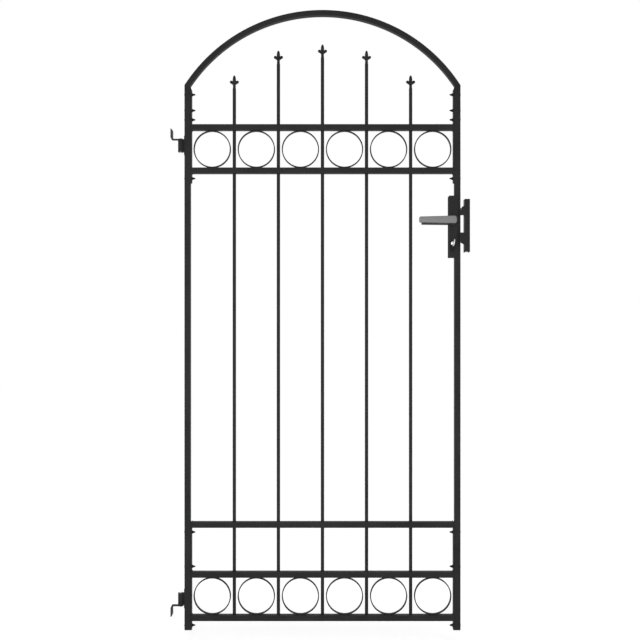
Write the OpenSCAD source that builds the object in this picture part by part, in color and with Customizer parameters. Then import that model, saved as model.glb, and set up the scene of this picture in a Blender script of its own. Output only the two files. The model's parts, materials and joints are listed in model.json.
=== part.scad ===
// Arched steel garden gate, one leaf hung between two walls.
// Millimetres, +Z up. The front faces -Y and the leaf opens to +Y.
// The origin is on the lower wall bracket's flat face, above its screw hole.

/* [Leaf] */
// Width of the leaf over its two stiles
leaf_w = 890; // [700:5:1100]
// Height of the leaf from its foot to the crown of the arch
leaf_h = 2000; // [1600:10:2400]
// Side of the square tube
tube = 19; // [16:1:22]
// Depth of the arch tube, from its outer curve to its inner curve
arch_t = 17; // [15:0.5:22]
// Height of the crown above the outer corners of the stiles
arch_rise = 242; // [160:2:320]

/* [Rails and strips] */
// Underside of the bottom rail above the foot
bottom_rail_z = 29.5; // [20:0.5:60]
// Clear height between the third and fourth rails
plain_gap = 142; // [100:1:200]
// Top of the top rail below the crown
top_rail_drop = 368; // [330:0.5:420]
// Thickness of the flat side strips
strip_t = 4; // [3:0.5:6]
// Reach of the upper strips above the top rail
strip_rise = 119; // [60:1:121]
// Reach of the upper strips below the second rail
strip_drop = 31; // [20:1:60]
// Slope at the top of the upper strips
strip_slope = 7; // [1:0.5:8]
// Chamfer at the other free ends of the side strips
strip_chamfer = 2; // [1:0.5:3]

/* [Bars and rings] */
// Number of upright bars
bar_count = 5; // [5:1:5]
// Diameter of the upright bars
bar_d = 11; // [8:0.5:12]
// Tip of the outer bars below the crown
outer_tip_drop = 208; // [195:1:240]
// Tip of the inner bars below the crown
inner_tip_drop = 128; // [120:1:160]
// Tip of the middle bar below the crown
middle_tip_drop = 108; // [60:1:140]
// Outer diameter of the ornamental rings
ring_d = 120.5; // [90:0.5:125]
// Radial thickness of the rings
ring_t = 3; // [2:0.5:5]
// Depth of the rings from front to back
ring_depth = 10; // [6:1:16]
// Height of a spearhead
spear_h = 46; // [38:1:60]
// Width of a spearhead over two opposite petals
spear_w = 30; // [24:1:40]
// Height of a spearhead's spike above the petals' lobes
spike_h = 22; // [16:1:26]
// Diameter of the petals' round lobes
lobe_d = 10; // [7:0.5:11]

/* [Hinges] */
// Distance from the wall to the hinge stile
wall_gap = 43.5; // [42:0.5:70]
// Reference point of the lower wall bracket above the foot of the leaf
anchor_z = 66; // [64:1:68]
// Distance from a bracket's reference point to its wall screw
screw_reach = 9.5; // [8:0.5:11]
// Underside of the lower hinge barrel above the foot
lower_barrel_z = 80; // [78:1:84]
// Top of the upper hinge barrel below the crown
upper_barrel_drop = 418; // [400:1:480]
// Length of a hinge barrel
barrel_h = 39; // [30:1:60]
// Outer diameter of a hinge barrel
barrel_d = 18; // [16:1:24]
// Diameter of the hinge pins
pin_d = 10; // [8:0.5:12]
// Height of the hinge plate on the stile
hinge_plate_h = 62; // [50:1:80]
// Middle of the hinge plate above the middle of its barrel
hinge_plate_rise = 1.5; // [0:0.5:5]
// Width of the hinge plate from front to back
hinge_plate_w = 12; // [8:1:14]
// Thickness of the hinge plate on the stile
hinge_plate_t = 2; // [1.5:0.5:4]
// Gap between the hinge plate and the barrel, bridged by a web
web_gap = 2; // [1:0.5:4]
// Thickness of the bracket's arm and wall leg
plate_t = 3; // [2.5:0.5:5]
// Outer radius of the bend between the arm and the wall leg
bend_r = 4; // [3.5:0.5:7]
// Length of the wall leg past its arm
leg_h = 30; // [28:1:50]
// Width of the wall leg from front to back
leg_w = 36; // [20:1:40]
// Width of the arm
arm_w = 14; // [13:0.5:16]
// Hole for the wall screw
screw_hole_d = 7; // [5:0.5:9]

/* [Lock] */
// Distance from the outer face of the lock stile to the spindle
backset = 26; // [24:0.5:36]
// Height of the lever spindle above the foot
lever_z = 1318; // [900:1:1350]
// Distance from the spindle down to the lock cylinder
cylinder_drop = 71; // [60:1:92]
// Height of the lock plates
lock_plate_h = 199; // [180:1:240]
// Top of the lock plates above the lever spindle
lock_plate_rise = 83; // [70:1:110]
// Width of the lock plates
lock_plate_w = 28.5; // [26:0.5:36]
// Setback of the lock plates from the outer face of the lock stile
lock_plate_setback = 9.5; // [4:0.5:11]
// Thickness of the lock plates
lock_plate_t = 3; // [2:0.5:4]
// Length of the front lever from the spindle to its tip
front_lever_l = 112; // [90:1:130]
// Height of the front lever's blade at the spindle
front_blade_h = 25; // [18:1:28]
// Height of the front lever's blade at its tip
front_tip_h = 19; // [14:1:24]
// Thickness of the front lever's blade
front_blade_t = 12; // [8:1:14]
// Distance from the front lock plate to the lever's blade
front_reach = 32.5; // [28:0.5:45]
// Length of the slimmer back lever from the spindle to its tip
back_lever_l = 94; // [70:1:130]
// Height of the back lever's blade at the spindle
back_blade_h = 9; // [8:1:28]
// Height of the back lever's blade at its tip
back_tip_h = 7; // [6:1:24]
// Thickness of the back lever's blade
back_blade_t = 10; // [8:1:14]
// Distance from the back lock plate to the lever's blade
back_reach = 24.5; // [24:0.5:45]
// Side of the square spindle
spindle_w = 8; // [7:1:9]
// Diameter of the cylinder's round barrel
cylinder_d = 17; // [17:1:20]
// Overall height of the profile cylinder
cylinder_h = 33; // [30:1:36]
// Width of the profile cylinder's tail
cylinder_tail_w = 10; // [8:1:11]
// Reach of the cylinder past the lock plates
cylinder_reach = 4; // [2:0.5:8]
// Diameter of the turning plug
plug_d = 12; // [10:0.5:13]
// Width of the key's bow
key_bow_d = 25; // [18:1:30]
// Thickness of the key
key_t = 2.5; // [2:0.5:3]
// Turn of the key from upright, its top towards the strike, in degrees
key_lean = 10; // [0:1:20]
// Reach of the latch and dead bolt past the stile
bolt_reach = 6; // [3:0.5:7]

/* [Strike] */
// Gap between the lock stile and the strike
strike_gap = 12.5; // [12:0.5:20]
// Height of the strike
strike_h = 170; // [150:1:220]
// Underside of the strike below the lever spindle
strike_drop = 98.5; // [90:0.5:110]
// Width of the strike seen from the front
strike_w = 16.5; // [14:0.5:24]
// Thickness of the strike's sheet
strike_t = 3; // [2:0.5:4]
// Lap of the lips over the front of the lock stile
lip_lap = 4.5; // [3:0.5:5]
// Clearance between the lips and the front of the leaf
lip_clear = 5; // [5:0.5:8]

/* [Hidden] */

black_paint = "#232428";
bare_steel = "#8d9094";
grey_alloy = "#85888b";
black_plastic = "#17181a";

round_fn = 64;          // facets of a drawn circle, taken as true curves
ring_fn = 96;
fit = 0.1;              // clearance of a fixed bar or pin in its hole, on the radius
turn_fit = 0.08;        // running clearance of a turning pin or spindle, on the radius
seat_gap = 0.3;         // gap between a hinge barrel and its arm
cap_h = 4;              // visible height of a stile's end cap

half_tube = tube / 2;
inner_w = leaf_w - 2 * tube - 2 * strip_t;
rail_x = tube + strip_t;

// Arch: the outer radius follows from the leaf's width and the rise
arch_r = (pow(leaf_w / 2, 2) + pow(arch_rise, 2)) / (2 * arch_rise);
arch_z = leaf_h - arch_r;
corner_outer_z = leaf_h - arch_rise;
corner_inner_z = arch_z + sqrt(pow(arch_r - arch_t, 2) - pow(leaf_w / 2 - tube, 2));

// Rails: undersides above the foot
ring_gap = ring_d + 2 * fit;
fourth_rail_z = bottom_rail_z + tube + ring_gap;
third_rail_z = fourth_rail_z + tube + plain_gap;
top_rail_z = leaf_h - top_rail_drop - tube;
second_rail_z = top_rail_z - ring_gap - tube;
lower_ring_z = bottom_rail_z + tube + ring_gap / 2;
upper_ring_z = second_rail_z + tube + ring_gap / 2;
upper_strip_z = second_rail_z - strip_drop;
upper_strip_top = top_rail_z + tube + strip_rise;
lower_strip_top = third_rail_z + tube;

// Bars: equal clear gaps between the two side strips
bar_pitch = (inner_w + bar_d) / (bar_count + 1);
bar_foot_z = bottom_rail_z + tube;
neck_r = 0.43 * bar_d;   // neck between a bar and its spearhead
spike_r = 0.47 * bar_d;  // foot of the spike
petal_t = 6;            // thickness of a petal
tip_drops = [outer_tip_drop, inner_tip_drop, middle_tip_drop, inner_tip_drop, outer_tip_drop];
ring_count = bar_count + 1;

// Hinges
axis_x = -hinge_plate_t - web_gap - barrel_d / 2;
upper_barrel_z = leaf_h - upper_barrel_drop - barrel_h;
lower_arm_z = lower_barrel_z - seat_gap - plate_t;
upper_arm_z = upper_barrel_z + barrel_h + seat_gap;
leg_screw_z = anchor_z - screw_reach - lower_arm_z;
pin_tail = 2;           // reach of a hinge pin past its barrel and its arm

// Lock
lock_x = leaf_w - backset;
lock_plate_x = leaf_w - lock_plate_setback - lock_plate_w;
plate_y = half_tube + lock_plate_t;
lock_plate_z = lever_z + lock_plate_rise - lock_plate_h;
case_rim = 2;           // lock case set back from the edges of its plates
case_x = lock_plate_x + case_rim;
case_z = lock_plate_z + case_rim;
case_h = lock_plate_h - 2 * case_rim;
cylinder_z = lever_z - cylinder_drop;
latch_z = lever_z + 34;
latch_h = 22;
dead_bolt_z = lever_z - 52;
dead_bolt_h = 24;
bolt_w = 10;
neck_d = 14;            // lever's neck
lever_end = 7.5;        // reach of a lever's blade behind the spindle
spindle_hole_d = spindle_w * sqrt(2) + 1;
key_blade_h = 8;        // height of the key's blade
spindle_y = plate_y + back_reach + 2;
cylinder_face_y = plate_y + cylinder_reach;
key_neck = 8;           // bare blade between the plug and the bow
key_reach = 11;         // reach of the key's blade into the plug

// Strike
strike_x = leaf_w + strike_gap;
strike_z = lever_z - strike_drop;
strike_front_y = -half_tube - lip_clear - strike_t;
strike_back_y = half_tube;
lip_tip_x = leaf_w - lip_lap;
wall_x = strike_x + strike_w;
bolt_slack = 5;         // room above and below a bolt in its slot
slot_w = bolt_w + 4;
strike_screw_inset = 20;

// Puts a shape drawn from the hinge stile's outer foot into the part's frame
module placed() translate([wall_gap, 0, -anchor_z]) children();

// An outline in X and Z, drawn out from y0 to y1
module upright(y0, y1) {
    translate([0, y1, 0]) rotate([90, 0, 0]) linear_extrude(y1 - y0) children();
}

// A round rod along Y from y0 to y1
module rod_y(x, z, y0, y1, d) {
    translate([x, y1, z]) rotate([90, 0, 0]) cylinder(d = d, h = y1 - y0, $fn = round_fn);
}

// ---- wall side ----

// Flat outline of an arm: a strip from the bend that ends in a disc round the pin
module arm_outline() {
    bend_x = bend_r - wall_gap;
    difference() {
        union() {
            translate([bend_x, -arm_w / 2]) square([axis_x - bend_x, arm_w]);
            translate([axis_x, 0]) circle(d = barrel_d, $fn = round_fn);
        }
        translate([axis_x, 0]) circle(d = pin_d + 2 * fit, $fn = round_fn);
    }
}

// Side view of the bend that turns the wall leg into the arm
module bend_outline() {
    translate([bend_r - wall_gap, plate_t - bend_r]) intersection() {
        difference() {
            circle(r = bend_r, $fn = round_fn);
            circle(r = bend_r - plate_t, $fn = round_fn);
        }
        translate([-bend_r, 0]) square(bend_r);
    }
}

// One bracket with its leg going down from the arm's underside
module hinge_arm() {
    linear_extrude(plate_t) arm_outline();
    upright(-arm_w / 2, arm_w / 2) bend_outline();
    difference() {
        translate([-wall_gap, -leg_w / 2, -leg_h])
            cube([plate_t, leg_w, leg_h + plate_t - bend_r]);
        translate([-wall_gap - 1, 0, leg_screw_z]) rotate([0, 90, 0])
            cylinder(d = screw_hole_d, h = plate_t + 2, $fn = round_fn);
    }
}

module lower_hinge_arm() {
    color(black_paint) placed() translate([0, 0, lower_arm_z]) hinge_arm();
}

module upper_hinge_arm() {
    color(black_paint) placed()
        translate([0, 0, upper_arm_z + plate_t]) mirror([0, 0, 1]) hinge_arm();
}

module hinge_pin(z) {
    pin_h = barrel_h + seat_gap + plate_t + 2 * pin_tail;
    color(bare_steel) placed()
        translate([axis_x, 0, z]) cylinder(d = pin_d, h = pin_h, $fn = round_fn);
}

module lower_hinge_pin() hinge_pin(lower_arm_z - pin_tail);

module upper_hinge_pin() hinge_pin(upper_barrel_z - pin_tail);

// Lips of the strike: one ear at the latch and one at the dead bolt
module lip_outline() {
    root_x = strike_x + strike_t;
    translate([0, latch_z])
        polygon([[lip_tip_x, -15], [root_x, -15], [root_x, 17], [strike_x - 3, 16],
                 [leaf_w + 2.5, 11], [leaf_w + 2, 2.5], [lip_tip_x, -2.5]]);
    translate([0, dead_bolt_z])
        polygon([[lip_tip_x, 15.5], [lip_tip_x, -13], [leaf_w, -17.5], [strike_x, -25],
                 [root_x, -25.5], [root_x, 15.5]]);
}

module bolt_slot(z, bolt_h) {
    slot_h = bolt_h + 2 * bolt_slack;
    translate([strike_x - 1, -slot_w / 2, z - slot_h / 2]) cube([strike_t + 2, slot_w, slot_h]);
}

module strike_screw_hole(z) {
    translate([wall_x - strike_t - 1, 0, z]) rotate([0, 90, 0])
        cylinder(d = screw_hole_d, h = strike_t + 2, $fn = round_fn);
}

module strike() {
    color(black_paint) placed() difference() {
        union() {
            translate([strike_x, strike_front_y, strike_z])
                cube([strike_w, strike_t, strike_h]);
            translate([strike_x, strike_front_y, strike_z])
                cube([strike_t, strike_back_y - strike_front_y, strike_h]);
            translate([wall_x - strike_t, strike_front_y, strike_z])
                cube([strike_t, strike_back_y - strike_front_y, strike_h]);
            upright(strike_front_y, strike_front_y + strike_t) lip_outline();
        }
        bolt_slot(latch_z, latch_h);
        bolt_slot(dead_bolt_z, dead_bolt_h);
        strike_screw_hole(strike_z + strike_screw_inset);
        strike_screw_hole(strike_z + strike_h - strike_screw_inset);
    }
}

// ---- leaf ----

// Stile with its top cut on the mitre; outer edge at x = 0
module stile_outline() {
    polygon([[0, cap_h], [tube, cap_h], [tube, corner_inner_z], [0, corner_outer_z]]);
}

module hinge_stile() {
    color(black_paint) placed() upright(-half_tube, half_tube) stile_outline();
}

// The lock stile is notched where the profile cylinder passes, and a wide one at the spindle
module lock_stile() {
    color(black_paint) placed() difference() {
        upright(-half_tube, half_tube)
            translate([leaf_w, 0]) mirror([1, 0]) stile_outline();
        cylinder_hole(-half_tube - 1, half_tube + 1);
        rod_y(lock_x, lever_z, -half_tube - 1, half_tube + 1, spindle_hole_d);
    }
}

module arch_tube() {
    reach = 3;
    mitre_dz = corner_outer_z - corner_inner_z;
    in_x = tube + reach * tube;
    in_z = corner_inner_z - reach * mitre_dz;
    out_x = -reach * tube;
    out_z = corner_outer_z + reach * mitre_dz;
    color(black_paint) placed() upright(-half_tube, half_tube) intersection() {
        translate([leaf_w / 2, arch_z]) difference() {
            circle(r = arch_r, $fn = 2 * round_fn);
            circle(r = arch_r - arch_t, $fn = 2 * round_fn);
        }
        polygon([[in_x, in_z], [leaf_w - in_x, in_z], [leaf_w - out_x, out_z],
                 [leaf_w - out_x, leaf_h + tube], [out_x, leaf_h + tube], [out_x, out_z]]);
    }
}

// Plastic end cap under a stile, its underside at the foot
module stile_cap(x) {
    color(black_plastic) placed()
        translate([x, -half_tube, 0]) cube([tube, tube, cap_h]);
}

module hinge_stile_cap() stile_cap(0);

module lock_stile_cap() stile_cap(leaf_w - tube);

// Square rail between the side strips, drilled where the bars pass
module rail(z, drilled) {
    color(black_paint) placed() difference() {
        translate([rail_x, -half_tube, z]) cube([inner_w, tube, tube]);
        if (drilled) {
            for (i = [1:bar_count])
                translate([bar_x(i), 0, z - 1])
                    cylinder(d = bar_d + 2 * fit, h = tube + 2, $fn = round_fn);
        }
    }
}

module bottom_rail() rail(bottom_rail_z, false);

module fourth_rail() rail(fourth_rail_z, true);

module third_rail() rail(third_rail_z, true);

module second_rail() rail(second_rail_z, true);

module top_rail() rail(top_rail_z, true);

// Flat strip on a stile's inner face, chamfered where an end is free
module strip_outline(z0, z1, foot_cut, top_cut) {
    polygon([[tube, z0], [rail_x, z0 + foot_cut],
             [rail_x, z1 - top_cut], [tube, z1]]);
}

module hinge_strip(z0, z1, foot_cut, top_cut) {
    color(black_paint) placed() upright(-half_tube, half_tube)
        strip_outline(z0, z1, foot_cut, top_cut);
}

module lock_strip(z0, z1, foot_cut, top_cut) {
    color(black_paint) placed() upright(-half_tube, half_tube)
        translate([leaf_w, 0]) mirror([1, 0]) strip_outline(z0, z1, foot_cut, top_cut);
}

module lower_hinge_strip() hinge_strip(0, lower_strip_top, 0, strip_chamfer);

module lower_lock_strip() lock_strip(0, lower_strip_top, 0, strip_chamfer);

module upper_hinge_strip() {
    hinge_strip(upper_strip_z, upper_strip_top, strip_chamfer, strip_slope);
}

module upper_lock_strip() {
    lock_strip(upper_strip_z, upper_strip_top, strip_chamfer, strip_slope);
}

function bar_x(i) = rail_x - bar_d / 2 + i * bar_pitch;
function bar_top(i) = leaf_h - tip_drops[i - 1] - spear_h;

// Upright bar i, standing on the bottom rail and through the other rails
module bar(i) {
    color(black_paint) placed() translate([bar_x(i), 0, bar_foot_z])
        cylinder(d = bar_d, h = bar_top(i) - bar_foot_z, $fn = round_fn);
}

// One pair of opposite petals, each a short rising arm with a round lobe
module petals() {
    lobe_x = spear_w / 2 - lobe_d / 2;
    for (side = [0, 1]) mirror([side, 0, 0]) upright(-petal_t / 2, petal_t / 2) {
        translate([lobe_x, 0]) circle(d = lobe_d, $fn = round_fn);
        polygon([[0, -13], [neck_r, -12.5], [7, -8], [lobe_x + 1.5, -4.5], [lobe_x, 2], [0, 2.5]]);
    }
}

// Spearhead standing on top of bar i: a spike rising out of four petals
module spearhead(i) {
    lobe_z = spear_h - spike_h;
    color(black_paint) placed() translate([bar_x(i), 0, bar_top(i)]) {
        rotate_extrude($fn = round_fn)
            polygon([[0, 0], [bar_d / 2, 0], [bar_d / 2, 1], [neck_r, 4], [neck_r, lobe_z - 10],
                     [spike_r, lobe_z], [spike_r, spear_h - 11], [0.85 * spike_r, spear_h - 7],
                     [0.6 * spike_r, spear_h - 3.5], [0, spear_h]]);
        translate([0, 0, lobe_z]) petals();
        translate([0, 0, lobe_z]) rotate([0, 0, 90]) petals();
    }
}

// One row of rings, each in the middle of a clear gap between the bars
module rings(z) {
    color(black_paint) placed() for (i = [1:ring_count])
        translate([bar_x(i) - bar_pitch / 2, 0, z]) rotate([90, 0, 0])
            translate([0, 0, -ring_depth / 2]) linear_extrude(ring_depth) difference() {
                circle(d = ring_d, $fn = ring_fn);
                circle(d = ring_d - 2 * ring_t, $fn = ring_fn);
            }
}

module lower_rings() rings(lower_ring_z);

module upper_rings() rings(upper_ring_z);

// Hinge plate on the stile, joined to its barrel by a web
module knuckle(barrel_z) {
    plate_z = barrel_z + (barrel_h - hinge_plate_h) / 2 + hinge_plate_rise;
    web_w = 2 * hinge_plate_w / 3;
    bore_d = pin_d + 2 * turn_fit;
    color(black_paint) placed() difference() {
        union() {
            translate([-hinge_plate_t, -hinge_plate_w / 2, plate_z])
                cube([hinge_plate_t, hinge_plate_w, hinge_plate_h]);
            translate([axis_x, -web_w / 2, barrel_z])
                cube([-hinge_plate_t / 2 - axis_x, web_w, barrel_h]);
            translate([axis_x, 0, barrel_z])
                cylinder(d = barrel_d, h = barrel_h, $fn = round_fn);
        }
        translate([axis_x, 0, barrel_z - 1])
            cylinder(d = bore_d, h = barrel_h + 2, $fn = round_fn);
    }
}

module lower_knuckle() knuckle(lower_barrel_z);

module upper_knuckle() knuckle(upper_barrel_z);

// ---- lock ----

// Outline of the profile cylinder: a round barrel over a narrow tail
module cylinder_outline(grow) {
    tail_h = cylinder_h - cylinder_d / 2;
    circle(d = cylinder_d + 2 * grow, $fn = round_fn);
    translate([0, -tail_h + cylinder_tail_w / 2])
        circle(d = cylinder_tail_w + 2 * grow, $fn = round_fn);
    translate([-cylinder_tail_w / 2 - grow, -tail_h + cylinder_tail_w / 2])
        square([cylinder_tail_w + 2 * grow, tail_h - cylinder_tail_w / 2]);
}

module cylinder_hole(y0, y1) {
    upright(y0, y1) translate([lock_x, cylinder_z]) cylinder_outline(fit);
}

// Lock case on the inner face of the lock stile
module lock_case() {
    color(black_paint) placed() difference() {
        translate([case_x, -half_tube, case_z])
            cube([leaf_w - tube - case_x, tube, case_h]);
        rod_y(lock_x, lever_z, -half_tube - 1, half_tube + 1, spindle_hole_d);
        cylinder_hole(-half_tube - 1, half_tube + 1);
    }
}

// Plate on the front or back of the lock, from y0 to y0 + lock_plate_t
module lock_plate(y0) {
    y1 = y0 + lock_plate_t;
    color(black_paint) placed() difference() {
        upright(y0, y1) translate([lock_plate_x, lock_plate_z])
            square([lock_plate_w, lock_plate_h]);
        rod_y(lock_x, lever_z, y0 - 1, y1 + 1, neck_d + 2 * turn_fit);
        cylinder_hole(y0 - 1, y1 + 1);
    }
}

module front_lock_plate() lock_plate(-plate_y);

module back_lock_plate() lock_plate(half_tube);

// Latch bolt showing at the outer face of the lock stile, its nose slanted
module latch_bolt() {
    color(bare_steel) placed() translate([leaf_w, 0, latch_z - latch_h / 2])
        linear_extrude(latch_h)
            polygon([[0, -bolt_w / 2], [bolt_reach, bolt_w / 5], [bolt_reach, bolt_w / 2],
                     [0, bolt_w / 2]]);
}

module dead_bolt() {
    color(bare_steel) placed() translate([leaf_w, -bolt_w / 2, dead_bolt_z - dead_bolt_h / 2])
        cube([bolt_reach, bolt_w, dead_bolt_h]);
}

module lock_cylinder() {
    color(black_paint) placed() difference() {
        upright(-cylinder_face_y, cylinder_face_y)
            translate([lock_x, cylinder_z]) cylinder_outline(0);
        rod_y(lock_x, cylinder_z, -cylinder_face_y - 1, 0, plug_d + 2 * turn_fit);
    }
}

// Side view of a lever's blade, its tip corners cut and its end round the spindle
module blade_outline(l, h, tip_h) {
    tip_cut = tip_h / 6;
    hub_d = max(h, neck_d + 2);
    intersection() {
        circle(d = hub_d, $fn = round_fn);
        translate([-hub_d, -hub_d]) square([hub_d + lever_end, 2 * hub_d]);
    }
    polygon([[0, -h / 2], [0, h / 2], [tip_cut - l, tip_h / 2], [-l, tip_h / 2 - tip_cut],
             [-l, tip_cut - tip_h / 2], [tip_cut - l, -tip_h / 2]]);
}

// Lever pointing to the back: neck through the lock plate, and a blade across it
module lever(l, h, tip_h, t, reach) {
    blade_y = plate_y + reach;
    socket_w = spindle_w + 2 * fit;
    color(grey_alloy) placed() difference() {
        union() {
            rod_y(lock_x, lever_z, half_tube, blade_y + 1, neck_d);
            upright(blade_y, blade_y + t) translate([lock_x, lever_z])
                blade_outline(l, h, tip_h);
        }
        translate([lock_x - socket_w / 2, half_tube - 1, lever_z - socket_w / 2])
            cube([socket_w, spindle_y + 2 - half_tube, socket_w]);
    }
}

module front_lever() {
    mirror([0, 1, 0]) lever(front_lever_l, front_blade_h, front_tip_h, front_blade_t, front_reach);
}

module back_lever() lever(back_lever_l, back_blade_h, back_tip_h, back_blade_t, back_reach);

// Square spindle joining the two levers
module lever_spindle() {
    color(bare_steel) placed()
        translate([lock_x - spindle_w / 2, -spindle_y, lever_z - spindle_w / 2])
            cube([spindle_w, 2 * spindle_y, spindle_w]);
}

// Puts a shape drawn round the plug's axis in its place, turned as the key stands
module on_plug() placed() translate([lock_x, 0, cylinder_z]) rotate([0, key_lean, 0]) children();

// Turning plug, with the slot that holds the key's blade
module cylinder_plug() {
    slot_w = key_t + 2 * fit;
    slot_h = key_blade_h + 2 * fit;
    color(bare_steel) on_plug() difference() {
        rod_y(0, 0, -cylinder_face_y, -1, plug_d);
        translate([-slot_w / 2, -cylinder_face_y - 1, -slot_h / 2])
            cube([slot_w, key_reach + 2, slot_h]);
    }
}

// Key in the plug, its bow edge-on to the front
module key() {
    bow_y = -cylinder_face_y - key_neck - key_bow_d / 2;
    root_y = bow_y + key_bow_d / 2 - 2;
    color(bare_steel) on_plug() translate([-key_t / 2, 0, 0])
        rotate([90, 0, 90]) linear_extrude(key_t) {
            difference() {
                translate([bow_y, 0]) circle(d = key_bow_d, $fn = round_fn);
                translate([bow_y - key_bow_d / 4, 0]) circle(d = key_bow_d / 5, $fn = round_fn);
            }
            translate([root_y, -key_blade_h / 2])
                square([key_reach - cylinder_face_y - root_y, key_blade_h]);
        }
}

lower_hinge_arm();
lower_hinge_pin();
upper_hinge_arm();
upper_hinge_pin();
strike();
hinge_stile();
lock_stile();
arch_tube();
hinge_stile_cap();
lock_stile_cap();
bottom_rail();
fourth_rail();
third_rail();
second_rail();
top_rail();
lower_hinge_strip();
lower_lock_strip();
upper_hinge_strip();
upper_lock_strip();
for (i = [1:bar_count]) bar(i);
for (i = [1:bar_count]) spearhead(i);
lower_rings();
upper_rings();
lower_knuckle();
upper_knuckle();
lock_case();
front_lock_plate();
back_lock_plate();
latch_bolt();
dead_bolt();
lock_cylinder();
front_lever();
back_lever();
lever_spindle();
cylinder_plug();
key();
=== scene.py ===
"""Finishes an arched steel garden gate around its fixed frame of bodies and nodes."""

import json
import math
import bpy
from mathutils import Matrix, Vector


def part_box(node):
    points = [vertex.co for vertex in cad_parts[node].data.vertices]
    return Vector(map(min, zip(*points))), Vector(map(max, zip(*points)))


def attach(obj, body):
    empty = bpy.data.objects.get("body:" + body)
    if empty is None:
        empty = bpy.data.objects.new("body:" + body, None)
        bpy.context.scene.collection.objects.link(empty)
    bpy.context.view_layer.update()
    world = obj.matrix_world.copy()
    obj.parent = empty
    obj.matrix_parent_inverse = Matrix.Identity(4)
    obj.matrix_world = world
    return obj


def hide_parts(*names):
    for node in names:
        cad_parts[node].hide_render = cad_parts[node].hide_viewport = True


bl_info = {
    "name": "Arched Garden Gate",
    "version": (1, 0, 0),
    "blender": (4, 5, 0),
    "location": "View3D > Sidebar > Garden Gate",
    "description": "Tubes, rings, spearheads, hinges, lock and finishes of an arched garden gate",
    "category": "Add Mesh",
}

import bmesh
import bpy
from bpy.props import FloatProperty, FloatVectorProperty, IntProperty, PointerProperty
from bpy.types import Operator, Panel, PropertyGroup
from mathutils import Matrix, Vector

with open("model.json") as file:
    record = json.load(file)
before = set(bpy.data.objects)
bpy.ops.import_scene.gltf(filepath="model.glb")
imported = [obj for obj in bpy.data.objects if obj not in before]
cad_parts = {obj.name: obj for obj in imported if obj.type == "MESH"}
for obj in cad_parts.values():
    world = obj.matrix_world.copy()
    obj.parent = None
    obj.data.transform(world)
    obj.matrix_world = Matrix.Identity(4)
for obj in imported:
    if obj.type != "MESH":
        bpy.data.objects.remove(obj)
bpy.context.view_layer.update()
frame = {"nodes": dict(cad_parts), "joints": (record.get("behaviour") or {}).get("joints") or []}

MM = 0.001
JOINTS = {joint["name"]: joint for joint in frame["joints"]}
LEVER_AXIS = Vector(JOINTS["lever_turn"]["pos_m"])

LEAF = "leaf"
WALL_SIDE = "wall_side"
LEVER = "lever"
KEY = "key_and_plug"

BARS = [f"bar_{i}" for i in range(1, 6)]
SPEARHEADS = [f"spearhead_{i}" for i in range(1, 6)]
RAILS = ["bottom_rail", "fourth_rail", "third_rail", "second_rail", "top_rail"]
STRIPS = ["lower_hinge_strip", "lower_lock_strip", "upper_hinge_strip", "upper_lock_strip"]
RING_ROWS = ["lower_rings", "upper_rings"]
SIDES = (("front", -1), ("back", 1))

LEAF_X0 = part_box("hinge_stile")[0].x
LEAF_X1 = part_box("lock_stile")[1].x
LEAF_MID_X = (LEAF_X0 + LEAF_X1) / 2
HALF_WIDTH = (LEAF_X1 - LEAF_X0) / 2
FOOT_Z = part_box("hinge_stile_cap")[0].z
CROWN_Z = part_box("arch_tube")[1].z
CORNER_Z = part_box("hinge_stile")[1].z   # where the arch's outer curve meets the stiles
HALF_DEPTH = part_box("hinge_stile")[1].y
TUBE = 2 * HALF_DEPTH
PLATE_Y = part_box("back_lock_plate")[1].y

# degrees between two faces at a true edge, on each kind of piece
EDGE_ANGLE = 32
SWEPT_ANGLE = 40
SCREW_ANGLE = 50
CAST_ANGLE = 60
MERGE = 1e-6                # points nearer than this are one


# -------- sizes that a user may change


def length_field(name, description, default, low, high):
    """A size that a user may change."""
    return FloatProperty(name=name, description=description, default=default, min=low,
                         max=high, subtype="DISTANCE", unit="LENGTH")


def colour_field(name, description, *default):
    """A colour that a user may change."""
    return FloatVectorProperty(name=name, description=description, default=default,
                               subtype="COLOR", min=0, max=1)


class GateDetail(PropertyGroup):
    """Small sizes that the frame leaves open"""

    tube_radius: length_field("Tube corner", "Outer corner radius of the square tube",
                              1.0 * MM, 0.5 * MM, 4 * MM)
    edge_radius: length_field("Plate edge", "Rounding of cut plate edges",
                              0.7 * MM, 0.1 * MM, 1.5 * MM)
    ring_thickness: length_field("Ring thickness", "Thickness of the flat bar of the rings",
                                 3.4 * MM, 2 * MM, 5 * MM)
    ring_edge: length_field("Ring edge", "Rounding of the edges of the rolled rings",
                            0.5 * MM, 0.1 * MM, 1.4 * MM)
    screw_diameter: length_field("Screw", "Thread diameter of the self-drilling screws",
                                 6.3 * MM, 3 * MM, 8 * MM)
    screw_point: length_field("Screw point", "Reach of the screws past the side strips",
                              12 * MM, 4 * MM, 16 * MM)
    weld_radius: length_field("Weld bead", "Radius of one ripple of a weld",
                              1.5 * MM, 0.5 * MM, 3 * MM)
    weld_step: length_field("Weld step", "Distance between two ripples of a weld",
                            1.5 * MM, 0.5 * MM, 3 * MM)
    round_steps: IntProperty(
        name="Round steps", description="Sides of a drawn round bar",
        default=40, min=12, max=96)


class GateFinish(PropertyGroup):
    """Colours of the gate's materials"""

    paint: colour_field("Paint", "Colour of the powder coat", 0.0225, 0.0225, 0.0232)
    zinc: colour_field("Zinc", "Colour of the plated pins and bolts", 0.46, 0.46, 0.47)
    alloy: colour_field("Alloy", "Colour of the grey levers", 0.193, 0.193, 0.195)
    nickel: colour_field("Nickel", "Colour of the lock plug and key", 0.66, 0.66, 0.66)
    plastic: colour_field("Plastic", "Colour of the end caps", 0.014, 0.014, 0.015)
    floor: colour_field("Floor", "Colour of the floor", 0.86, 0.86, 0.86)


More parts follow.
